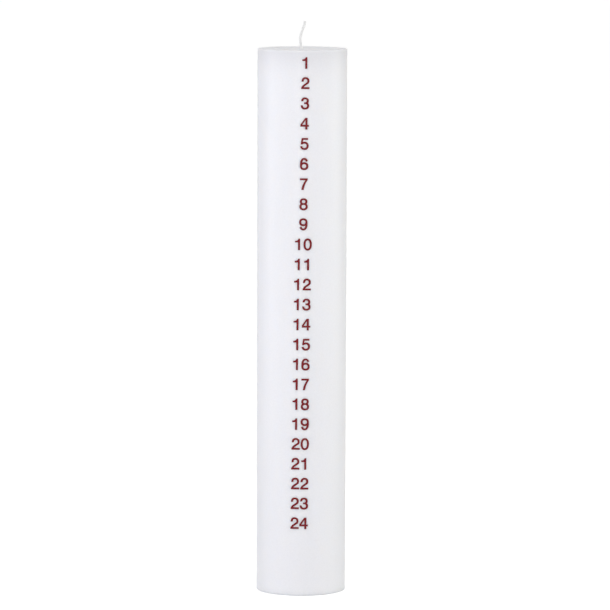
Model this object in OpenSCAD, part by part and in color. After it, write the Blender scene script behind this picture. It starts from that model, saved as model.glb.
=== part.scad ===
// Calendar candle: a tall round wax candle with the days 1 to 24 printed down its front.
// It stands on z = 0 with its wick along +Z, and the day numbers face -Y.

/* [Wax body] */
// Diameter of the wax body
body_d = 50; // [45:1:60]
// Height of the wax body, without the wick
body_h = 305; // [295:1:340]
// Rounding of the rim round the top face
rim_r = 0.7; // [0.3:0.1:1]
// Bevel round the foot
foot_bevel = 0.4; // [0.2:0.1:2]
// Diameter of the shallow dip in the top face
dip_d = 42; // [20:1:43]
// Depth of that dip at the wick
dip_depth = 1.1; // [0.6:0.1:1.5]

/* [Wick] */
// Thickness of the braided wick
wick_d = 1.6; // [1.2:0.1:2]
// Gap all round between the wick and the wax of its channel
channel_gap = 0.05; // [0.02:0.01:0.1]
// How far the wick drifts sideways on its way up through the wax
wick_drift = -0.4; // [-1:0.1:1]

/* [Wick clip] */
// Diameter of the clip's round plate
clip_d = 20; // [16:1:26]
// Thickness of the clip's sheet metal
clip_t = 0.3; // [0.2:0.05:0.5]
// Height of the neck that is crimped round the wick
neck_h = 7; // [4:0.5:12]
// How far the clip's plate lies above the surface that the candle stands on
clip_lift = 0.6; // [0.4:0.1:1.5]
// Gap round the clip in its recess
clip_gap = 0.4; // [0.2:0.1:0.8]

/* [Day numbers] */
// Height of a flat-topped digit
digit_h = 6.45; // [5.5:0.05:6.5]
// Distance from one day number to the next
day_pitch = 11.17; // [9:0.01:11.4]
// Distance from the top face down to the middle of the first day number
first_drop = 7; // [5:0.1:12]
// How far the first day number sits to the right of the middle
print_shift = 1.79; // [-2:0.01:2]
// Lean of the whole print, clockwise, in degrees
print_lean = 0.63; // [-1:0.01:1]
// Thickness of the ink film
ink_t = 0.1; // [0.06:0.01:0.2]

/* [Hidden] */
$fn = 96;
days = 24;
body_r = body_d / 2;
wick_r = wick_d / 2;
channel_r = wick_r + channel_gap;
neck_r = wick_r + 2 * clip_t;
recess_h = clip_lift + clip_t;
socket_h = recess_h + neck_h + clip_gap;
channel_lean = atan2(wick_drift, body_h - socket_h);
dip_steps = 12;    // bands from the middle of the dip to its edge
film_reach = 3.5;  // how far behind the wall's front line the outline of a number starts

// Free end of the wick: how far each point lies to the right, back and up from where the line of the
// wick's channel meets the level of the rim
wick_sides = 12;
free_end = [
    [-0.05, 0, -0.3], [-0.28, 0, 0.9], [-0.55, 0, 2.1], [-0.75, -0.1, 3.3], [-0.86, -0.2, 4.5],
    [-0.82, -0.2, 5.7], [-0.62, -0.2, 6.9], [-0.3, -0.1, 8.1], [0.13, 0, 9.3], [0.55, 0.1, 10.5],
    [1, 0.2, 11.7], [1.4, 0.2, 12.9], [1.63, 0.3, 14], [1.72, 0.3, 15]
];

// Digits are drawn on a cell one digit height tall. These are parts of that height.
cell_w = 0.79;        // width of the cell
digit_step = 0.8;     // distance between the two digits of a number
stem_w = 0.18;        // thickness of upright strokes
bar_w = 0.16;         // thickness of level strokes
stroke = [stem_w, bar_w];
overshoot = 0.023;    // how far round strokes pass the top and the foot of the cell
bowl_x = 0.395;       // middle of the round digits
bowl_rx = 0.36;       // half width of the round digits
roundness = 0.9;      // 1 gives true ovals, less makes them squarer
arc_step = 10;        // degrees from one point of an oval to the next
sweep_steps = 6;      // straight pieces in a curve that isn't part of an oval
teens_left = 0.22;    // how far 12 to 19 sit to the left of the other numbers, in millimetres

// Both bowls of 3 and 8. The lower one is wider, and they meet at the waist at these angles.
upper_m = [bowl_x, 0.725];
upper_r = [0.325, 0.27 + overshoot];
upper_end = -38;
lower_m = [bowl_x, 0.295];
lower_r = [bowl_rx, 0.295 + overshoot];
lower_end = 47;

function day_name(n) = str("numeral_", n < 10 ? "0" : "", n);

// Wax, with a dip in its top face, the channel for the wick and the recess for its clip

// Depth of the top face below the rim, at a part t of the way from the middle of the dip to its edge
function dip(t) = dip_depth * (1 + cos(180 * t)) / 2;

module dip_profile() {
    polygon(concat(
        [for (i = [0:dip_steps]) let (t = i / dip_steps) [t * dip_d / 2, body_h - dip(t)]],
        [[dip_d / 2, body_h + 1], [0, body_h + 1]]
    ));
}

module body_profile() {
    difference() {
        union() {
            square([body_r, body_h - rim_r]);
            square([body_r - rim_r, body_h]);
            translate([body_r - rim_r, body_h - rim_r])
                circle(rim_r);
        }
        dip_profile();
        polygon([
            [body_r - foot_bevel, 0], [body_r + 1, -1],
            [body_r + 1, foot_bevel + 1], [body_r, foot_bevel]
        ]);
    }
}

module wax_body() {
    color("ghostwhite")
        difference() {
            rotate_extrude() body_profile();
            translate([0, 0, socket_h])
                rotate([0, channel_lean, 0])
                    translate([0, 0, -1])
                        cylinder(r = channel_r, h = body_h);
            translate([0, 0, -1])
                cylinder(r = clip_d / 2 + clip_gap, h = recess_h + 1);
            translate([0, 0, -1])
                cylinder(r = neck_r + clip_gap, h = socket_h + 1);
        }
}

// Wick: one cord from the clip up through the wax, and its curved free end

function unit(v) = v / norm(v);

// Points round a tube of radius r along a route, one ring for each point of the route
function tube_points(route, r, sides) = [
    for (i = [0:len(route) - 1])
        let (
            along = unit(route[min(i + 1, len(route) - 1)] - route[max(i - 1, 0)]),
            across = unit(cross([0, 1, 0], along)),
            away = cross(along, across)
        )
        for (k = [0:sides - 1])
            let (t = 360 * k / sides)
            route[i] + r * (cos(t) * across + sin(t) * away)
];

// Triangles between the rings of a tube, and its two ends
function tube_faces(rings, sides) = concat(
    [for (i = [0:rings - 2], k = [0:sides - 1])
        [i * sides + k, (i + 1) * sides + k, i * sides + (k + 1) % sides]],
    [for (i = [0:rings - 2], k = [0:sides - 1])
        [(i + 1) * sides + k, (i + 1) * sides + (k + 1) % sides, i * sides + (k + 1) % sides]],
    [[for (k = [0:sides - 1]) k]],
    [[for (k = [sides - 1:-1:0]) (rings - 1) * sides + k]]
);

module wick() {
    leaves_wax = [wick_drift, 0, body_h] + (dip_depth + 0.2) * [-tan(channel_lean), 0, -1];
    route = concat(
        [[0, 0, clip_lift], [0, 0, socket_h], leaves_wax],
        [for (p = free_end) p + [wick_drift, 0, body_h]]
    );
    color("whitesmoke")
        polyhedron(tube_points(route, wick_r, wick_sides), tube_faces(len(route), wick_sides));
}

// Wick clip: a round plate with a neck crimped round the wick

module wick_clip() {
    flare = 3 * clip_t;
    color("silver")
        translate([0, 0, clip_lift])
            rotate_extrude()
                difference() {
                    union() {
                        translate([wick_r, 0])
                            square([clip_d / 2 - wick_r, clip_t]);
                        translate([wick_r, 0])
                            square([neck_r - wick_r, clip_t + neck_h]);
                        translate([neck_r, clip_t])
                            square(flare);
                    }
                    translate([neck_r + flare, clip_t + flare])
                        circle(flare);
                }
}

// Curves for the digits

function soften(v) = sign(v) * pow(abs(v), roundness);

// Points on a soft oval round middle m with half sizes r, from angle a to angle b
function oval(m, r, a, b) =
    let (steps = ceil(abs(b - a) / arc_step))
    [for (i = [0:steps])
        let (t = a + (b - a) * i / steps)
        [m.x + r.x * soften(cos(t)), m.y + r.y * soften(sin(t))]];

// Points all the way round the same oval
function whole_oval(m, r) = oval(m, r, 0, 360 - arc_step);

// Points on a curve from p to r that is drawn towards q
function sweep(p, q, r) = [
    for (i = [0:sweep_steps])
        let (t = i / sweep_steps)
        pow(1 - t, 2) * p + 2 * t * (1 - t) * q + pow(t, 2) * r
];

module shape(points) {
    polygon([for (p = points) p * digit_h]);
}

module glyph(outline, holes = []) {
    difference() {
        shape(outline);
        for (hole = holes)
            shape(hole);
    }
}

// Shapes of the digits

module digit_0() {
    m = [bowl_x, 0.5];
    r = [bowl_rx, 0.5 + overshoot];
    glyph(whole_oval(m, r), [whole_oval(m, r - stroke)]);
}

module digit_1() {
    right = 0.545;
    flag = [0.11, 0.665, 0.805];  // left end, lower and upper edge of the flag
    glyph(concat(
        [[flag[0], flag[1]], [right - stem_w, flag[1]], [right - stem_w, 0], [right, 0], [right, 1]],
        sweep([right - 0.145, 1], [right - 0.18, 0.8], [flag[0], flag[2]])
    ));
}

module digit_2() {
    m = [0.41, 0.695];
    r = [0.335, 0.3 + overshoot];
    hook = 192;             // angle at which the hook ends
    diagonal = [-38, -44];  // angles at which the lower and the upper edge of the diagonal start
    right = 0.76;
    glyph(concat(
        oval(m, r, hook, diagonal[0]),
        [[0.345, 0.25], [0.26, bar_w], [right, bar_w], [right, 0], [0.045, 0]],
        [[0.05, 0.1], [0.095, 0.205], [0.18, 0.32]],
        oval(m, r - stroke, diagonal[1], hook)
    ));
}

module digit_3() {
    bar = [0.315, 0.455, 0.595];  // left end, lower and upper edge of the waist
    hook = 188;                   // angle at which both hooks end
    inside = 79;                  // angle at which the waist meets the inside of both bowls
    glyph(concat(
        oval(upper_m, upper_r, hook, upper_end),
        oval(lower_m, lower_r, lower_end, -hook),
        oval(lower_m, lower_r - stroke, -hook, inside),
        [[bar[0], bar[1]], [bar[0], bar[2]]],
        oval(upper_m, upper_r - stroke, -inside, hook)
    ));
}

module digit_4() {
    bar = [0.24, 0.395];
    stem = [0.45, 0.45 + stem_w];
    left = 0.025;
    right = 0.76;
    glyph(
        [
            [left, bar[0]], [stem[0], bar[0]], [stem[0], 0], [stem[1], 0], [stem[1], bar[0]],
            [right, bar[0]], [right, bar[1]], [stem[1], bar[1]], [stem[1], 1], [stem[1] - 0.19, 1],
            [left, 0.42]
        ],
        [[[0.185, bar[1]], [stem[0], bar[1]], [stem[0], 0.79]]]
    );
}

module digit_5() {
    m = [bowl_x, 0.33];
    r = [0.365, 0.33 + overshoot];
    right = 0.7;
    hook = -175;  // angle at which the hook ends
    glyph(concat(
        [[right, 1], [0.155, 1], [0.07, 0.445], [0.225, 0.445]],
        oval(m, r - stroke, 142, hook),
        oval(m, r, hook, 113),
        [[0.3, 1 - bar_w], [right, 1 - bar_w]]
    ));
}

module digit_6() {
    tall_m = [bowl_x, 0.5];
    tall_r = [bowl_rx, 0.5 + overshoot];
    bowl_m = [bowl_x, 0.315];
    bowl_r = [bowl_rx, 0.315 + overshoot];
    tip = 29;            // angle at which the top stroke ends
    joint = [475, 162];  // angles at which the bowl's outside meets the tall stroke's inside
    glyph(
        concat(
            oval(tall_m, tall_r, tip, 180),
            oval(bowl_m, bowl_r, 180, joint[0]),
            oval(tall_m, tall_r - stroke, joint[1], tip)
        ),
        [whole_oval(bowl_m, bowl_r - stroke)]
    );
}

module digit_7() {
    left = 0.05;
    right = 0.715;
    glyph(concat(
        [[right, 1], [left, 1], [left, 1 - bar_w]],
        sweep([0.52, 1 - bar_w], [0.255, 0.485], [0.185, 0]),
        sweep([0.38, 0], [0.45, 0.515], [right, 0.86])
    ));
}

module digit_8() {
    glyph(
        concat(
            oval(upper_m, upper_r, upper_end, 180 - upper_end),
            oval(lower_m, lower_r, 180 - lower_end, 360 + lower_end)
        ),
        [whole_oval(upper_m, upper_r - stroke), whole_oval(lower_m, lower_r - stroke)]
    );
}

module digit_9() {
    translate([2 * bowl_x, 1] * digit_h)
        rotate(180)
            digit_6();
}

module digit(d) {
    if (d == 0) digit_0();
    if (d == 1) digit_1();
    if (d == 2) digit_2();
    if (d == 3) digit_3();
    if (d == 4) digit_4();
    if (d == 5) digit_5();
    if (d == 6) digit_6();
    if (d == 7) digit_7();
    if (d == 8) digit_8();
    if (d == 9) digit_9();
}

// A number, set about its own middle

module number(n) {
    digits = n < 10 ? [n] : [floor(n / 10), n % 10];
    aside = n > 11 && n < 20 ? teens_left : 0;
    for (i = [0:len(digits) - 1])
        translate([((i - (len(digits) - 1) / 2) * digit_step - cell_w / 2) * digit_h - aside, -digit_h / 2])
            digit(digits[i]);
}

// The ink film of one day: its number cut out of a thin shell on the wax

module numeral(n) {
    middle_h = body_h - first_drop - (n - 1) * day_pitch;
    color("firebrick")
        intersection() {
            translate([0, 0, middle_h - digit_h])
                difference() {
                    cylinder(r = body_r + ink_t, h = 2 * digit_h);
                    translate([0, 0, -1])
                        cylinder(r = body_r, h = 2 * digit_h + 2);
                }
            translate([0, film_reach - body_r, 0])
                rotate([90, 0, 0])
                    linear_extrude(film_reach + 1)
                        translate([print_shift, body_h - first_drop])
                            rotate(-print_lean)
                                translate([0, -(n - 1) * day_pitch])
                                    number(n);
        }
}

wax_body();
wick();
wick_clip();
for (n = [1:days])
    numeral(n);
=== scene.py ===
# %% [markdown]
# # A calendar candle
#
# The object is a white pillar candle with the days 1 to 24 printed down its front. It is lit once a
# day, and the wax of one number burns away.
#
# Its construction model holds the real sizes. This script loads it and adds the looks: the
# translucent wax, the plaited wick, the stamped clip under the foot, and the dark red print.

# %% Load the construction model
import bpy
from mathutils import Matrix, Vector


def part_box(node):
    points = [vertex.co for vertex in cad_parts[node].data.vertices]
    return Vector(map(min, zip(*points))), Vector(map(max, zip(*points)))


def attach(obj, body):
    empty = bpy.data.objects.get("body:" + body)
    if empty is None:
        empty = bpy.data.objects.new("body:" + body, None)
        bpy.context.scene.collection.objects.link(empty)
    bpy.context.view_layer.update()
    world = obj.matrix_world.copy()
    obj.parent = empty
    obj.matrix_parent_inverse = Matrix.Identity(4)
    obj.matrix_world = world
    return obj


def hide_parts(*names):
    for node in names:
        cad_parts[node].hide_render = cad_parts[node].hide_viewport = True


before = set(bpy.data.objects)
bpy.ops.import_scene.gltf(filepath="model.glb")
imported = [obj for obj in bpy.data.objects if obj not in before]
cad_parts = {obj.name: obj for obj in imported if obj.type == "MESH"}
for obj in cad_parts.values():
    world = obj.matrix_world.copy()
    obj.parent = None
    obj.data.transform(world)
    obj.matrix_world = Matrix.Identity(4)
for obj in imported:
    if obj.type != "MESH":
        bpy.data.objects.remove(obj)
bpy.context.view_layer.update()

# %% [markdown]
# ## Sizes
#
# Everything here is in metres and in the construction model's own place: the candle stands on
# z = 0, its wick points up, and its numbers face -Y. The outer sizes of the wax and of the clip are
# read off the model, so that they are not typed twice.

# %% Read the sizes off the model
import math
import random

import bmesh
import bpy
from mathutils import Matrix, Vector

MM = 0.001
wax_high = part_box("wax_body")[1]
clip_low, clip_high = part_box("wick_clip")
WAX_R = wax_high.x
WAX_TOP = wax_high.z
print(f"wax {2 * WAX_R / MM:.1f} mm thick and {WAX_TOP / MM:.1f} mm tall")

# %% [markdown]
# ## Camera
#
# The photograph was taken with a long lens from more than two metres away, a little above the
# candle and looking slightly down, so the upright sides draw together by only two pixels in the
# height of the picture. A long lens is wide in millimetres and narrow in degrees: 240 mm on a 36 mm
# sensor sees about 8.6 degrees.

# %% Set up the camera
LENS_MM = 239.6
SENSOR_MM = 36.0
CAMERA_PLACE = Vector((1.9, -2265.0, 408.9)) * MM
CAMERA_TILT = math.radians(6.246)
CAMERA_ROLL = math.radians(0.19)
SEES_AS_FAR_AS = 50

camera = bpy.data.objects.new("camera", bpy.data.cameras.new("camera"))
bpy.context.scene.collection.objects.link(camera)
bpy.context.scene.camera = camera
camera.data.lens = LENS_MM
camera.data.sensor_width = SENSOR_MM
camera.data.clip_end = SEES_AS_FAR_AS
look_down = Matrix.Rotation(math.radians(90) - CAMERA_TILT, 4, "X")
camera.matrix_world = Matrix.Translation(CAMERA_PLACE) @ look_down @ Matrix.Rotation(CAMERA_ROLL, 4, "Z")
print("camera", [round(x, 3) for x in camera.location], "lens", camera.data.lens)

# %% [markdown]
# ## Small steps between nodes
#
# Every finish here is a tree of nodes, and many of those only do arithmetic. With three short
# helpers such a node is made and linked in one line, so that a tree reads like a sum. Each node
# could also be made and linked by hand, but then the links hide what the tree does.

# %% Helpers for the node trees
def give(tree, value, socket):
    """Links a value to a socket, or writes it there if it is a plain one."""
    if isinstance(value, bpy.types.NodeSocket):
        tree.links.new(value, socket)
    else:
        socket.default_value = value


def combine(tree, operation, first, second):
    """One step of arithmetic on two numbers."""
    step = tree.nodes.new("ShaderNodeMath")
    step.operation = operation
    give(tree, first, step.inputs[0])
    give(tree, second, step.inputs[1])
    return step.outputs[0]


def spread(tree, value, old_range, new_range):
    """Moves a number from one range to another. Past the ends of the range it stays level."""
    part = tree.nodes.new("ShaderNodeMapRange")
    give(tree, value, part.inputs["Value"])
    give(tree, old_range[0], part.inputs["From Min"])
    give(tree, old_range[1], part.inputs["From Max"])
    give(tree, new_range[0], part.inputs["To Min"])
    give(tree, new_range[1], part.inputs["To Max"])
    return part.outputs["Result"]


print("node helpers ready")

# %% [markdown]
# ## Background
#
# The photograph's background is plain white. Here the floor and the world look white to the camera,
# to gloss and to glass, but they light matt surfaces at their own plain level, so a white background
# doesn't put more light on the candle. The Light Path node tells the rays apart.

# %% A white that only the eye sees
SKY_LIGHT = 0.71


def seen_directly(tree):
    """A socket that is 1 for rays from the camera, off gloss and through glass, and else 0."""
    path = tree.nodes.new("ShaderNodeLightPath").outputs
    either = combine(tree, "MAXIMUM", path["Is Camera Ray"], path["Is Glossy Ray"])
    return combine(tree, "MAXIMUM", either, path["Is Transmission Ray"])


world = bpy.data.worlds.new("studio")
bpy.context.scene.world = world
world.use_nodes = True
tree = world.node_tree
sky = tree.nodes["Background"]
sky.inputs["Color"].default_value = (1, 1, 1, 1)
give(tree, spread(tree, seen_directly(tree), (0, 1), (SKY_LIGHT, 1)), sky.inputs["Strength"])
print("world lights at", SKY_LIGHT, "and looks white")

# %% [markdown]
# ## Floor
#
# The floor is one matt sheet, so it keeps the candle's soft shadow, with a weak glow that only the
# eye sees and that lifts it to white. For the light that it throws back its colour is a middle
# grey, as a white floor would wash out the shading of the wall. Under the candle lies a white card,
# which throws light back into the wax at the foot, or else the foot's edge would look dirty.

# %% Lay the floor
FLOOR_HALF = 12.0
FLOOR_COLOUR = 0.48
FLOOR_LIFT = 0.3
CARD_COLOUR = 0.85
CARD_R = 25 * MM
CARD_FADE = 2 * MM

floor_mesh = bpy.data.meshes.new("floor")
corners = [(-1, -1), (1, -1), (1, 1), (-1, 1)]
floor_mesh.from_pydata([(FLOOR_HALF * x, FLOOR_HALF * y, 0) for x, y in corners], [], [(0, 1, 2, 3)])
floor = bpy.data.objects.new("floor", floor_mesh)
bpy.context.scene.collection.objects.link(floor)

paper = bpy.data.materials.new("floor_paper")
paper.use_nodes = True
tree = paper.node_tree
tree.nodes.clear()
seen = seen_directly(tree)
from_middle = tree.nodes.new("ShaderNodeVectorMath")
from_middle.operation = "LENGTH"
give(tree, tree.nodes.new("ShaderNodeTexCoord").outputs["Object"], from_middle.inputs[0])
card_edge = (CARD_R, CARD_R + CARD_FADE)
thrown_back = spread(tree, from_middle.outputs["Value"], card_edge, (CARD_COLOUR, FLOOR_COLOUR))
matt = tree.nodes.new("ShaderNodeBsdfDiffuse")
give(tree, spread(tree, seen, (0, 1), (thrown_back, 1)), matt.inputs["Color"])
glow = tree.nodes.new("ShaderNodeEmission")
give(tree, combine(tree, "MULTIPLY", seen, FLOOR_LIFT), glow.inputs["Strength"])
both = tree.nodes.new("ShaderNodeAddShader")
give(tree, matt.outputs[0], both.inputs[0])
give(tree, glow.outputs[0], both.inputs[1])
give(tree, both.outputs[0], tree.nodes.new("ShaderNodeOutputMaterial").inputs["Surface"])
floor_mesh.materials.append(paper)
print("floor", 2 * FLOOR_HALF, "m across")

# %% [markdown]
# ## Lamps
#
# Four soft boxes stand on the floor round the candle: a strong one in front, a weaker and slightly
# blue one at the left, a warmer one at the right, and one behind for the candle's back. Each side
# lamp lights only its own half, so a faint valley is left down the middle of the front, and both
# edges are darker again, which is how a white object is kept from vanishing on white. The lamps are
# twice as tall as the candle and shine level, so the top face gets less light than the wall.
#
# The lamp behind is kept out of the gloss, because the level top face would mirror it. It is also
# kept off the floor: in front of it the white would be so strong that it ate into the candle's
# outline. Light linking does that, with a collection that names what a lamp leaves out.

# %% Four soft boxes
BOX_WIDE = 0.3
BOX_TALL = 0.6
BOX_AWAY = 1.14
SIDE_STEP = 0.1
NEUTRAL = (1.0, 1.0, 1.0)
COOL = (0.91, 0.925, 1.0)
WARM = (0.98, 1.0, 0.9)


def soft_box(name, x, y, power, colour):
    """A rectangular lamp on the floor that faces the middle of the candle. It isn't seen itself."""
    lamp = bpy.data.lights.new(name, "AREA")
    lamp.shape = "RECTANGLE"
    lamp.size = BOX_WIDE
    lamp.size_y = BOX_TALL
    lamp.energy = power
    lamp.color = colour
    box = bpy.data.objects.new(name, lamp)
    bpy.context.scene.collection.objects.link(box)
    place = Vector((x, y, BOX_TALL / 2))
    facing = (Vector((0, 0, WAX_TOP / 2)) - place).to_track_quat("-Z", "Y")
    box.matrix_world = Matrix.Translation(place) @ facing.to_matrix().to_4x4()
    box.visible_camera = False
    return box


soft_box("front", 0, -BOX_AWAY, power=4.95, colour=NEUTRAL)
soft_box("left", -BOX_AWAY, -SIDE_STEP, power=3.1, colour=COOL)
soft_box("right", BOX_AWAY, SIDE_STEP, power=2.65, colour=WARM)
back = soft_box("back", 0, BOX_AWAY, power=3.3, colour=NEUTRAL)
back.visible_glossy = False
left_out = bpy.data.collections.new("not_lit_from_behind")
left_out.objects.link(floor)
left_out.collection_objects[0].light_linking.link_state = "EXCLUDE"
back.light_linking.receiver_collection = left_out
bpy.context.scene.view_settings.view_transform = "Standard"

# %% [markdown]
# ## A lathe for round pieces
#
# A pillar candle and its clip are round, so both can be made as on a lathe: a closed outline of
# (radius, height) points is spun round the upright axis. Small arcs at the corners catch the light
# as a real edge does. A Screw modifier could spin the outline too, but in code each ring can also
# be pushed in or out, which the clip needs for its crimps.

# %% The lathe
def arc(middle, radius, start, end, steps=6):
    """Points of an arc in the outline, from one angle to another in degrees."""
    turns = [math.radians(start + (end - start) * i / steps) for i in range(steps + 1)]
    return [(middle[0] + radius * math.cos(t), middle[1] + radius * math.sin(t)) for t in turns]


def lathe(name, outline, sides, shape=lambda r, z, turn: (r, z), after=None):
    """Spins a closed outline. shape may move each point, given its radius, height and angle, and
    after may change the whole mesh."""
    bm = bmesh.new()
    rings = []
    for k in range(sides):
        turn = 2 * math.pi * k / sides
        ring = []
        for point in outline:
            r, z = shape(point[0], point[1], turn)
            ring.append(bm.verts.new((r * math.cos(turn), r * math.sin(turn), z)))
        rings.append(ring)
    for ring, next_ring in zip(rings, rings[1:] + rings[:1]):
        for i in range(len(outline)):
            j = (i + 1) % len(outline)
            bm.faces.new((ring[i], next_ring[i], next_ring[j], ring[j]))
    if after:
        after(bm)
    return finish_piece(name, bm)


def finish_piece(name, bm):
    """Turns a bmesh into an object with smooth shading."""
    bmesh.ops.recalc_face_normals(bm, faces=bm.faces)
    mesh = bpy.data.meshes.new(name)
    bm.to_mesh(mesh)
    bm.free()
    mesh.shade_smooth()
    piece = bpy.data.objects.new(name, mesh)
    bpy.context.scene.collection.objects.link(piece)
    print(name, len(mesh.vertices), "points", len(mesh.polygons), "faces")
    return piece


print("lathe ready")

# %% [markdown]
# ## The outline of the wax
#
# The wax is one block with a crisp, slightly rounded rim and foot. Wax shrinks as it sets, which
# leaves a shallow dip in the top face, and it climbs up the wick and sets there as a small collar.
# Under the foot are the shallow recess and the socket that take the clip, as in the model.
#
# The outline is given once round: up the wick's channel, over the collar, out through the dip,
# down the wall and back in through the recess. The channel stops below the top face, because there
# the wax has filled it and soaked into the cord, and light can pass through. Beside each rounded
# edge lies a narrow flat strip, which keeps the smooth shading of the edge off the flat face, and
# the mouth of the recess is slightly bevelled.

# %% Draw the outline of the wax
RIM_R = 0.7 * MM
FOOT_R = 0.15 * MM
STRIP = 0.3 * MM
RIM_STRIP = 0.2 * MM
DIP_R = 21 * MM
DIP_DEPTH = 1.1 * MM
WICK_R = 0.8 * MM
CHANNEL_GAP = 0.05 * MM
CHANNEL_R = WICK_R + CHANNEL_GAP
COLLAR_R = 2.2 * MM
COLLAR_H = 0.5 * MM
PLUG_H = 15 * MM
CLIP_T = 0.3 * MM
NECK_R = 1.4 * MM
CLIP_GAP = 0.4 * MM
RECESS_R = clip_high.x + CLIP_GAP
RECESS_H = clip_low.z + CLIP_T
RECESS_BEVEL_WIDE = 0.3 * MM
RECESS_BEVEL_HIGH = 0.1 * MM
SOCKET_R = NECK_R + CLIP_GAP
SOCKET_H = clip_high.z + CLIP_GAP
WALL_ROWS = 48
TOP_RINGS = 40
TOP_CROWDING = 1.5


def top_height(r):
    """Height of the top face at radius r: the dip, and the wick's collar in the middle of it."""
    dip = DIP_DEPTH * (1 + math.cos(math.pi * r / DIP_R)) / 2 if r < DIP_R else 0
    climb = min(1, max(0, COLLAR_R - r) / (COLLAR_R - WICK_R))
    return WAX_TOP - dip + COLLAR_H * climb ** 3


def wax_outline():
    """The closed outline. The rings of the top face lie closer together towards the wick."""
    rim = (WAX_R - RIM_R, WAX_TOP - RIM_R)
    reach = rim[0] - RIM_STRIP
    radii = [reach * (i / TOP_RINGS) ** TOP_CROWDING for i in range(TOP_RINGS + 1)]
    top = [(r, top_height(r)) for r in radii]
    wall_top = rim[1] - STRIP
    wall_foot = FOOT_R + STRIP
    wall = [(WAX_R, wall_top + (wall_foot - wall_top) * i / WALL_ROWS) for i in range(WALL_ROWS + 1)]
    foot = arc((WAX_R - FOOT_R, FOOT_R), FOOT_R, 0, -90, steps=4) + [(WAX_R - FOOT_R - STRIP, 0)]
    mouth = [(RECESS_R + RECESS_BEVEL_WIDE, 0), (RECESS_R, RECESS_BEVEL_HIGH)]
    under = mouth + [(RECESS_R, RECESS_H), (SOCKET_R, RECESS_H)]
    channel_top = WAX_TOP - PLUG_H
    channel = [(SOCKET_R, SOCKET_H), (CHANNEL_R, SOCKET_H), (CHANNEL_R, channel_top), (0, channel_top)]
    return channel + top + arc(rim, RIM_R, 90, 0) + wall + foot + under


print(len(wax_outline()), "points in the outline of the wax")

# %% [markdown]
# ## Turning the wax
#
# The lathe spins the outline. In the real candle the wick never stands quite in the middle at the
# top: it has drifted sideways by less than half a millimetre on its way up. So the points near it
# are pushed along with it, above the socket, and the push fades out in the dip.

# %% Turn the wax
WAX_SIDES = 192
WICK_DRIFT = -0.4 * MM
DRIFT_REACH = 3 * COLLAR_R
DRIFTS_ABOVE = SOCKET_H + 1 * MM
SAME_POINT = 0.001 * MM


def follow_wick(bm):
    """Closes the middle, and pushes it sideways at the top as far as the wick has drifted."""
    bmesh.ops.remove_doubles(bm, verts=bm.verts, dist=SAME_POINT)
    for point in bm.verts:
        r = math.hypot(point.co.x, point.co.y)
        if point.co.z > DRIFTS_ABOVE and r < DRIFT_REACH:
            point.co.x += WICK_DRIFT * min(1, (DRIFT_REACH - r) / (DRIFT_REACH - COLLAR_R))


wax = lathe("wax", wax_outline(), WAX_SIDES, after=follow_wick)
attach(wax, "root")
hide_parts("wax_body")

# %% [markdown]
# ## Patterns
#
# A real surface is never one flat colour. Each finish here mixes two close colours by a noise
# pattern and takes its fine roughness from another. The patterns are laid on the object's own
# metres, so they keep their size and need no unwrapping.

# %% Helpers for the finishes
MOST_OF_THE_NOISE = (0.3, 0.7)


def pattern(tree, grain, stretch=(1, 1, 1), detail=3.0):
    """A noise whose grains are about the given size in metres, stretched along some axes."""
    fit = tree.nodes.new("ShaderNodeMapping")
    fit.inputs["Scale"].default_value = [1 / (grain * s) for s in stretch]
    noise = tree.nodes.new("ShaderNodeTexNoise")
    noise.inputs["Scale"].default_value = 1
    noise.inputs["Detail"].default_value = detail
    give(tree, tree.nodes.new("ShaderNodeTexCoord").outputs["Object"], fit.inputs["Vector"])
    give(tree, fit.outputs["Vector"], noise.inputs["Vector"])
    return noise.outputs[0]


def between(tree, value, low, high):
    """Spreads a pattern's middle values over the numbers from low to high."""
    return spread(tree, value, MOST_OF_THE_NOISE, (low, high))


def two_tone(tree, value, first, second):
    """Mixes two colours by a pattern."""
    mix = tree.nodes.new("ShaderNodeMix")
    mix.data_type = "RGBA"
    give(tree, between(tree, value, 0, 1), mix.inputs["Factor"])
    give(tree, (*first, 1), mix.inputs["A"])
    give(tree, (*second, 1), mix.inputs["B"])
    return mix.outputs["Result"]


def tinted(tree, colour, factor, tint):
    """Multiplies a colour by a tint, as far as factor says."""
    mix = tree.nodes.new("ShaderNodeMix")
    mix.data_type = "RGBA"
    mix.blend_type = "MULTIPLY"
    give(tree, factor, mix.inputs["Factor"])
    give(tree, colour, mix.inputs["A"])
    give(tree, tint, mix.inputs["B"])
    return mix.outputs["Result"]


def relief(tree, value, depth, below=None):
    """A bump of the given depth in metres, on top of another bump if there is one."""
    bump = tree.nodes.new("ShaderNodeBump")
    bump.inputs["Distance"].default_value = depth
    give(tree, value, bump.inputs["Height"])
    if below is not None:
        give(tree, below, bump.inputs["Normal"])
    return bump.outputs["Normal"]


def finish(name):
    """A new material, with its node tree and its main shader."""
    material = bpy.data.materials.new(name)
    material.use_nodes = True
    tree = material.node_tree
    return material, tree, tree.nodes["Principled BSDF"]


print("pattern helpers ready")

# %% [markdown]
# ## Painted shade towards the rim
#
# Towards the rim the colour of the wax is painted a little darker: painted shade, for the light that
# leaks out through the top face. A mask for it can be worked out from the place on the piece: it
# rises with the height and with the distance from the middle, so that the dip round the wick keeps
# its plain colour. It could be painted by hand, but a sum of the place needs no unwrapping.

# %% A mask for the painted rim shade
# How far down the wall the painted rim shade reaches.
RIM_SHADE_REACH = 24 * MM
DOWN_THE_WALL = 3.0
TOWARDS_THE_WICK = 2.0


def here(tree):
    """The x, y and z of the place on the piece, as three numbers in metres."""
    split = tree.nodes.new("ShaderNodeSeparateXYZ")
    give(tree, tree.nodes.new("ShaderNodeTexCoord").outputs["Object"], split.inputs[0])
    return split.outputs


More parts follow.
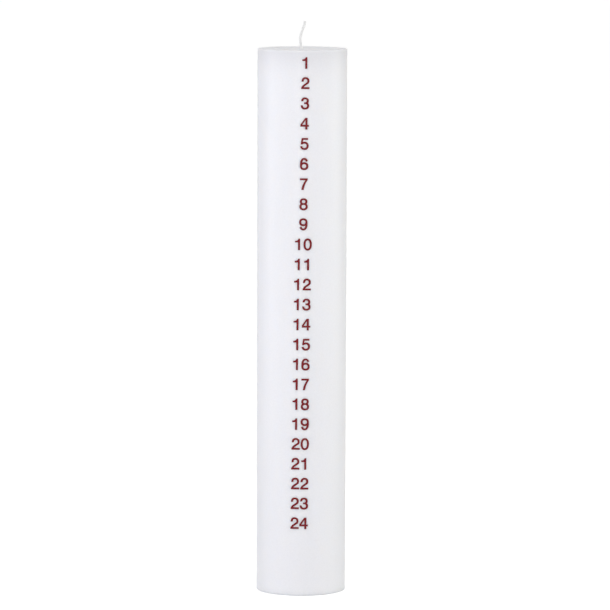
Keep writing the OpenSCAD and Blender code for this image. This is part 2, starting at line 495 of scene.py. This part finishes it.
def rising(tree, low, high):
    """A number that goes from 0 at the height low to 1 at the height high."""
    return spread(tree, here(tree)[2], (low, high), (0, 1))


def painted_rim_shade(tree):
    """A mask for painted shade: 1 at the rim, fading down the wall and towards the wick."""
    x, y, _ = here(tree)
    squares = combine(tree, "ADD", combine(tree, "POWER", x, 2.0), combine(tree, "POWER", y, 2.0))
    outward = combine(tree, "POWER", combine(tree, "DIVIDE", squares, WAX_R ** 2), TOWARDS_THE_WICK)
    upward = combine(tree, "POWER", rising(tree, WAX_TOP - RIM_SHADE_REACH, WAX_TOP), DOWN_THE_WALL)
    return combine(tree, "MULTIPLY", upward, outward)


print(f"the rim's tone reaches {RIM_SHADE_REACH / MM:.0f} mm down")

# %% [markdown]
# ## The finish of the wax
#
# Wax is translucent: light goes in, scatters a few millimetres and comes out elsewhere, so shadows
# are soft and edges glow. That is what subsurface scattering is for. A white paint would be quicker
# to render, but its shadows would be hard. Pressed wax also shows faint clouds, fine grains just
# under the skin, and thin upright marks from the mould, under a satin gloss.

# %% Finish the wax
CLOUD_SIZE = 30 * MM
CLOUD_TONES = (0.858, 0.857, 0.892), (0.873, 0.871, 0.908)
GRAIN_SIZE = 0.9 * MM
GRAIN_TONES = (0.975, 0.975, 0.975), (1, 1, 1)
GRAIN_DEEP = 0.02 * MM
DRAG_SIZE = 0.5 * MM
DRAG_DEEP = 0.01 * MM
# The rim's tone is painted shade, the darkening of the wax at the rim.
RIM_SHADE_TONE = 0.86
WAX_ROUGH = 0.40, 0.48
WAX_SCATTER = 3.5 * MM
WAX_SCATTER_BY_COLOUR = 1, 0.95, 0.9
WAX_IOR = 1.44
WAX_SPECULAR = 0.4

wax_finish, tree, shader = finish("wax_satin")
clouds = pattern(tree, CLOUD_SIZE, stretch=(1, 1, 2.5))
grains = pattern(tree, GRAIN_SIZE, detail=2.0)
drag = pattern(tree, DRAG_SIZE, stretch=(1, 1, 60))
tone = two_tone(tree, clouds, *CLOUD_TONES)
fine = two_tone(tree, grains, *GRAIN_TONES)
speckled = tinted(tree, tone, 1, fine)
# Painted shade: the base colour is darkened towards the rim, as far as the rim mask says.
rim_shaded = tinted(tree, speckled, painted_rim_shade(tree), (RIM_SHADE_TONE, RIM_SHADE_TONE, RIM_SHADE_TONE, 1))
give(tree, rim_shaded, shader.inputs["Base Color"])
give(tree, between(tree, grains, *WAX_ROUGH), shader.inputs["Roughness"])
skin = relief(tree, drag, DRAG_DEEP, below=relief(tree, grains, GRAIN_DEEP))
give(tree, skin, shader.inputs["Normal"])
shader.inputs["Subsurface Weight"].default_value = 1
shader.inputs["Subsurface Radius"].default_value = WAX_SCATTER_BY_COLOUR
shader.inputs["Subsurface Scale"].default_value = WAX_SCATTER
shader.inputs["IOR"].default_value = WAX_IOR
shader.inputs["Specular IOR Level"].default_value = WAX_SPECULAR
wax.data.materials.append(wax_finish)
print(f"wax scatters over {WAX_SCATTER / MM:.1f} mm")

# %% [markdown]
# ## The route of the wick
#
# A candle wick is a cord of plaited cotton, soaked in wax so that it stands by itself. Its route
# repeats the construction model's points: up through the wax with a slight drift to the left, then a
# free end that leans left and curves back to the right.
#
# A curve object could carry the cord, but the plait needs to know, at each step, how far along the
# cord it is and which way is across it. So the route is worked out here as plain points. Only the
# part near the top is plaited, because nobody sees the rest.

# %% The wick's route
FREE_END = [
    (-0.05, 0, -0.3), (-0.28, 0, 0.9), (-0.55, 0, 2.1), (-0.75, -0.1, 3.3), (-0.86, -0.2, 4.5),
    (-0.82, -0.2, 5.7), (-0.62, -0.2, 6.9), (-0.3, -0.1, 8.1), (0.13, 0, 9.3), (0.55, 0.1, 10.5),
    (1, 0.2, 11.7), (1.4, 0.2, 12.9), (1.63, 0.3, 14), (1.72, 0.3, 15)
]
PLAIT_BELOW = 4 * MM
BELOW_DIP = 0.2 * MM
STEP = 0.16 * MM


def smooth_route(points, step):
    """Points a step apart on a smooth curve through the given points."""
    padded = [2 * points[0] - points[1]] + points + [2 * points[-1] - points[-2]]
    fine = []
    for a, b, c, d in zip(padded, padded[1:], padded[2:], padded[3:]):
        count = max(1, round((c - b).length / step))
        for i in range(count):
            t = i / count
            fine.append(0.5 * (2 * b + (c - a) * t + (2 * a - 5 * b + 4 * c - d) * t * t
                               + (3 * b - a - 3 * c + d) * t ** 3))
    return fine + [points[-1]]


def with_frames(points):
    """Each point with its distance along the cord, its direction, and two directions across it."""
    framed, travelled = [], 0.0
    for i, point in enumerate(points):
        along = (points[min(i + 1, len(points) - 1)] - points[max(i - 1, 0)]).normalized()
        right = Vector((0, 1, 0)).cross(along).normalized()
        framed.append((point, travelled, along, right, along.cross(right)))
        if i + 1 < len(points):
            travelled += (points[i + 1] - point).length
    return framed


clip_end = Vector((0, 0, SOCKET_H))
top_centre = Vector((WICK_DRIFT, 0, WAX_TOP))
up_the_channel = (top_centre - clip_end).normalized()
plait_start = top_centre - PLAIT_BELOW * up_the_channel
leaves_wax = top_centre - (DIP_DEPTH + BELOW_DIP) * up_the_channel
free_points = [Vector(p) * MM + top_centre for p in FREE_END]
half_way = plait_start.lerp(leaves_wax, 0.5)
plait_route = with_frames(smooth_route([plait_start, half_way, leaves_wax] + free_points, STEP))
print(f"plaited part {plait_route[-1][1] / MM:.1f} mm long")

# %% [markdown]
# ## Plaiting the wick
#
# Four yarns wind one way round the wick and four the other way, and each goes over one and under
# the next. It could be a smooth tube with a bump map, but the plait is what makes a wick a wick, so
# each yarn is a flattened tube of its own, wound round a core. A yarn's distance from the core goes
# in and out like a wave, and the two directions are half a wave apart, so they pass over and under.

# %% Helpers for the cord
YARNS_EACH_WAY = 4
PLAIT_PITCH = 4.2 * MM
YARN_THICK = 0.17 * MM
YARN_WIDE = 0.3 * MM
YARN_WAVE = 0.08 * MM
YARN_MIDDLE = WICK_R - YARN_THICK - YARN_WAVE
YARN_SIDES = 8
CORD_SIDES = 12


def skin_rings(bm, rings):
    """Joins rings of points into a closed tube."""
    rows = [[bm.verts.new(p) for p in ring] for ring in rings]
    count = len(rows[0])
    for row, next_row in zip(rows, rows[1:]):
        for k in range(count):
            j = (k + 1) % count
            bm.faces.new((row[k], row[j], next_row[j], next_row[k]))
    bm.faces.new(rows[0][::-1])
    bm.faces.new(rows[-1])


def plain_cord(bm, route, radius):
    """A round cord along the route."""
    turns = [2 * math.pi * k / CORD_SIDES for k in range(CORD_SIDES)]
    skin_rings(bm, [
        [point + radius * (math.cos(t) * right + math.sin(t) * back) for t in turns]
        for point, _, _, right, back in route
    ])


def yarn(bm, route, first_turn, way):
    """One yarn of the plait. way is 1 or -1, for the two directions that the yarns wind in."""
    rings = []
    slant = math.atan(2 * math.pi * YARN_MIDDLE / PLAIT_PITCH)
    for point, travelled, along, right, back in route:
        wind = 2 * math.pi * travelled / PLAIT_PITCH
        turn = first_turn + way * wind
        out = math.cos(turn) * right + math.sin(turn) * back
        round_way = way * (math.cos(turn) * back - math.sin(turn) * right)
        middle = point + (YARN_MIDDLE + way * YARN_WAVE * math.cos(YARNS_EACH_WAY * wind)) * out
        across = math.cos(slant) * round_way - math.sin(slant) * along
        ring = []
        for k in range(YARN_SIDES):
            t = 2 * math.pi * k / YARN_SIDES
            ring.append(middle + YARN_THICK * math.cos(t) * out + YARN_WIDE * math.sin(t) * across)
        rings.append(ring)
    skin_rings(bm, rings)


print(f"yarns wind once in {PLAIT_PITCH / MM:.1f} mm")

# %% [markdown]
# ## Putting the wick together
#
# One mesh holds all of it: a plain cord inside the wax, the core of the plait, and the eight yarns.
# They could be separate objects, but a plait never comes apart, so one piece is simpler. At the tip
# the yarns end at slightly different lengths, as when a cord is snipped off. Chance chooses them,
# from a fixed seed, so that each run gives the same tip.

# %% Plait the wick
CORE_R = 0.68 * MM
CORE_STOPS_SHORT = 2
TIP_STEPS = 3
CHANCE_SEED = 24

chance = random.Random(CHANCE_SEED)
bm = bmesh.new()
buried = with_frames([Vector((0, 0, clip_low.z)), clip_end, plait_start])
plain_cord(bm, buried, WICK_R)
plain_cord(bm, plait_route[:-CORE_STOPS_SHORT], CORE_R)
for way in (1, -1):
    for k in range(YARNS_EACH_WAY):
        cut = len(plait_route) - chance.randrange(0, TIP_STEPS)
        yarn(bm, plait_route[:cut], 2 * math.pi * k / YARNS_EACH_WAY, way)
wick = finish_piece("wick_plait", bm)
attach(wick, "root")
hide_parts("wick")

# %% [markdown]
# ## The finish of the wick
#
# Cotton soaked in white wax is soft in its gloss and still shows the fine fibres of its yarns. The
# wax that climbs up from the candle fills its foot and leaves it whiter there, and the foot is also
# painted lighter, as painted light against the shade of the dip, so the colour is darkened from the
# foot up.

# %% Finish the wick
FIBRE_SIZE = 0.12 * MM
FIBRE_DEEP = 0.03 * MM
PATCH_SIZE = 1.5 * MM
COTTON_TONES = (0.9, 0.9, 0.895), (0.94, 0.94, 0.935)
COTTON_ROUGH = 0.5, 0.7
COTTON_SCATTER = 0.05 * MM
SOAK_AND_PAINTED_LIGHT_REACH = 2.5 * MM
DRY_TONE_ABOVE_PAINTED_LIGHT = 0.88

wick_finish, tree, shader = finish("waxed_cotton")
fibres = pattern(tree, FIBRE_SIZE, stretch=(1, 1, 3))
patches = pattern(tree, PATCH_SIZE)
soaked = two_tone(tree, patches, *COTTON_TONES)
# Partly painted light: the foot of the wick keeps the lighter colour, for the wax that fills it and to
# lift it out of the dip's shade.
above_the_rim = rising(tree, WAX_TOP, WAX_TOP + SOAK_AND_PAINTED_LIGHT_REACH)
drier_above_painted_light = tinted(tree, soaked, above_the_rim, (DRY_TONE_ABOVE_PAINTED_LIGHT, DRY_TONE_ABOVE_PAINTED_LIGHT, DRY_TONE_ABOVE_PAINTED_LIGHT, 1))
give(tree, drier_above_painted_light, shader.inputs["Base Color"])
give(tree, between(tree, fibres, *COTTON_ROUGH), shader.inputs["Roughness"])
give(tree, relief(tree, fibres, FIBRE_DEEP), shader.inputs["Normal"])
shader.inputs["Subsurface Weight"].default_value = 0.3
shader.inputs["Subsurface Radius"].default_value = (1, 1, 1)
shader.inputs["Subsurface Scale"].default_value = COTTON_SCATTER
wick.data.materials.append(wick_finish)
print(f"the wick is driest from {SOAK_AND_PAINTED_LIGHT_REACH / MM:.1f} mm above the rim")

# %% [markdown]
# ## The outline of the clip
#
# The photograph doesn't show the underside. Pressed pillar candles have a clip there, which holds
# the wick's end: a round plate stamped from tinned sheet, with a raised ring that stiffens it, and a
# neck drawn up from its middle. The outline follows the sheet once round: in along its lower side
# and up inside the neck, over the lip, and back down the outside and out along its upper side.

# %% Draw the outline of the clip
CLIP_R = clip_high.x
NECK_TOP = clip_high.z
NECK_ROWS = 24
LIP_DROP = 0.1 * MM
BEND_R = 0.9 * MM
BEAD_R = 6.5 * MM
BEAD_WIDE = 1.1 * MM
BEAD_DEEP = 0.25 * MM
PLATE_RINGS = 40


def plate_sag(r):
    """How far the stiffening ring is pressed down at radius r."""
    reach = abs(r - BEAD_R) / BEAD_WIDE
    return BEAD_DEEP * (1 + math.cos(math.pi * reach)) / 2 if reach < 1 else 0


def clip_outline():
    """The closed outline of the plate and its neck."""
    base = clip_low.z
    plate_in = NECK_R + BEND_R
    plate_out = CLIP_R - CLIP_T / 2
    radii = [plate_in + (plate_out - plate_in) * i / PLATE_RINGS for i in range(PLATE_RINGS + 1)]
    upper = [(r, base + CLIP_T - plate_sag(r)) for r in radii]
    lower = [(r, base - plate_sag(r)) for r in reversed(radii)]
    edge = arc((plate_out, base + CLIP_T / 2), CLIP_T / 2, 80, -80)
    bend = (plate_in, base + CLIP_T + BEND_R)
    outside = arc(bend, BEND_R, 180, 270, steps=8)
    inside = arc(bend, BEND_R + CLIP_T, 268, 182, steps=8)
    neck_top = NECK_TOP - LIP_DROP
    heights = [bend[1] + (neck_top - bend[1]) * i / NECK_ROWS for i in range(1, NECK_ROWS + 1)]
    neck_in = [(NECK_R - CLIP_T, z) for z in heights]
    neck_out = [(NECK_R, z) for z in reversed(heights)]
    round_lip = arc((NECK_R - CLIP_T / 2, neck_top), CLIP_T / 2, 150, 30, steps=4)
    lip = [(r, min(z, NECK_TOP)) for r, z in round_lip]
    return lower + inside + neck_in + lip + neck_out + outside + upper + edge


print(len(clip_outline()), "points in the outline of the clip")

# %% [markdown]
# ## Stamping the clip
#
# On the real clip the neck is crimped round the cord in four places. The same lathe makes it: each
# point of the neck between the crimps' two ends is pressed in, most in the four crimps and not at
# all half way between them.

# %% Stamp the clip
CLIP_SIDES = 96
CRIMPS = 4
CRIMP_DEEP = 0.28 * MM
CRIMP_SPAN = (2.6 * MM, 6.6 * MM)
CRIMP_STEEP = 1.6
NECK_TOLERANCE = 0.01 * MM


def crimp(r, z, turn):
    """Presses the neck in towards the wick, between the crimps' two ends."""
    if r > NECK_R + NECK_TOLERANCE or not CRIMP_SPAN[0] < z < CRIMP_SPAN[1]:
        return r, z
    along = math.sin(math.pi * (z - CRIMP_SPAN[0]) / (CRIMP_SPAN[1] - CRIMP_SPAN[0]))
    round_it = (1 + math.cos(CRIMPS * turn)) / 2
    return r - CRIMP_DEEP * min(1, CRIMP_STEEP * along) * round_it, z


clip = lathe("clip", clip_outline(), CLIP_SIDES, crimp)
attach(clip, "root")
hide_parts("wick_clip")

# %% [markdown]
# ## The finish of the clip
#
# Tinned sheet is a dull grey metal. Rolling leaves it finely lined in one direction, and handling
# leaves duller patches. One noise makes the lines, stretched a long way along X, and another mixes
# the brighter and the duller grey and their gloss.

# %% Finish the clip
ROLLED_LINE = 0.15 * MM
ROLLED_DEEP = 0.01 * MM
DULL_PATCH = 3 * MM
TIN_TONES = (0.56, 0.56, 0.54), (0.66, 0.66, 0.645)
TIN_ROUGH = 0.28, 0.48

clip_finish, tree, shader = finish("tinned_sheet")
rolled = pattern(tree, ROLLED_LINE, stretch=(30, 1, 1))
dull = pattern(tree, DULL_PATCH)
give(tree, two_tone(tree, dull, *TIN_TONES), shader.inputs["Base Color"])
give(tree, between(tree, dull, *TIN_ROUGH), shader.inputs["Roughness"])
give(tree, relief(tree, rolled, ROLLED_DEEP), shader.inputs["Normal"])
shader.inputs["Metallic"].default_value = 1
clip.data.materials.append(clip_finish)
print("clip finished")

# %% [markdown]
# ## The print
#
# The day numbers are a thin film of dark red ink. Their outlines and their place on the wax are the
# construction model's, and only the finish is added: a dense ink with a satin gloss, a little
# thinner in places, as when it is squeezed through a screen.

# %% Finish the print
THIN_PATCH = 0.6 * MM
SCREEN_MESH = 0.12 * MM
MESH_MARK_DEEP = 0.008 * MM
INK_TONES = (0.175, 0.012, 0.017), (0.205, 0.016, 0.021)
INK_ROUGH = 0.5, 0.6
INK_SPECULAR = 0.12

ink_finish, tree, shader = finish("dark_red_ink")
density = pattern(tree, THIN_PATCH)
mesh_marks = pattern(tree, SCREEN_MESH, detail=1.0)
give(tree, two_tone(tree, density, *INK_TONES), shader.inputs["Base Color"])
give(tree, between(tree, density, *INK_ROUGH), shader.inputs["Roughness"])
give(tree, relief(tree, mesh_marks, MESH_MARK_DEEP), shader.inputs["Normal"])
shader.inputs["Specular IOR Level"].default_value = INK_SPECULAR
numerals = [node for name, node in sorted(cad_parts.items()) if name.startswith("numeral_")]
for numeral in numerals:
    for place in numeral.material_slots:
        place.material = ink_finish
print("printed", len(numerals), "numbers")
